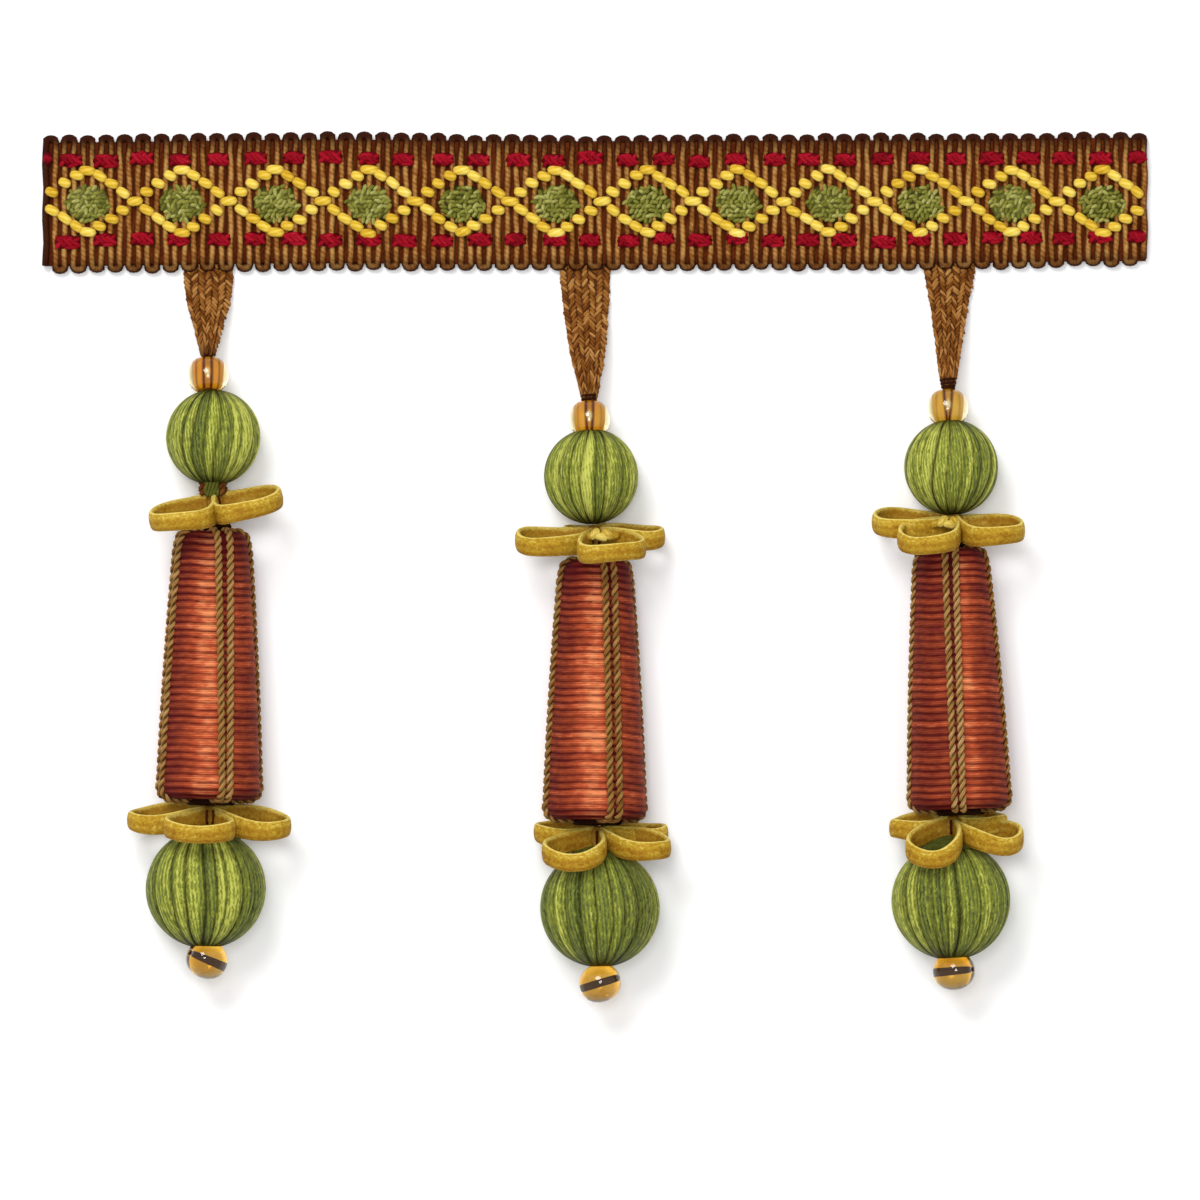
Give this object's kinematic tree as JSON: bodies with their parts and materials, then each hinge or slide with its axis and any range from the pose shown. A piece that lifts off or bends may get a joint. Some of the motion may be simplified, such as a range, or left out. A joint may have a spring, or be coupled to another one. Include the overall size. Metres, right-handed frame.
{
  "type": "tassel fringe trim",
  "caption": "Cut length of ribbed gimp braid lying flat, with wound ball, cone, rosette and glass bead drops below its lower edge.",
  "frame": {"origin": "centre of the band's flat back, on the surface that the trim lies on", "axes": "+X along the band, +Y across it away from the drops, +Z out of the band's face"},
  "size_m": [0.1216, 0.095, 0.0153],
  "materials": {
    "band_weft": "matte",
    "diamond_cord": "matte",
    "tab_braid": "matte",
    "amber_glass": "polished",
    "thread": "matte",
    "green_floss": "satin",
    "gold_tape": "matte",
    "red_winding": "satin",
    "twisted_cord": "satin"
  },
  "bodies": {
    "root": {"band": "band_weft", "diamond_cord": "diamond_cord", "tab_left": "tab_braid", "tab_middle": "tab_braid", "tab_right": "tab_braid", "upper_bead_left": "amber_glass", "upper_bead_middle": "amber_glass", "upper_bead_right": "amber_glass", "thread_left": "thread", "thread_middle": "thread", "thread_right": "thread", "small_ball_left": "green_floss", "small_ball_middle": "green_floss", "small_ball_right": "green_floss", "neck_left": "thread", "upper_rosette_left": "gold_tape", "upper_rosette_middle": "gold_tape", "upper_rosette_right": "gold_tape", "cone_left": "red_winding", "cone_middle": "red_winding", "cone_right": "red_winding", "cord_pair_left_1": "twisted_cord", "cord_pair_left_2": "twisted_cord", "cord_pair_left_3": "twisted_cord", "cord_pair_left_4": "twisted_cord", "cord_pair_middle_1": "twisted_cord", "cord_pair_middle_2": "twisted_cord", "cord_pair_middle_3": "twisted_cord", "cord_pair_middle_4": "twisted_cord", "cord_pair_right_1": "twisted_cord", "cord_pair_right_2": "twisted_cord", "cord_pair_right_3": "twisted_cord", "cord_pair_right_4": "twisted_cord", "lower_rosette_left": "gold_tape", "lower_rosette_middle": "gold_tape", "lower_rosette_right": "gold_tape", "big_ball_left": "green_floss", "big_ball_middle": "green_floss", "big_ball_right": "green_floss", "end_bead_left": "amber_glass", "end_bead_middle": "amber_glass", "end_bead_right": "amber_glass"}
  },
  "joints": []
}
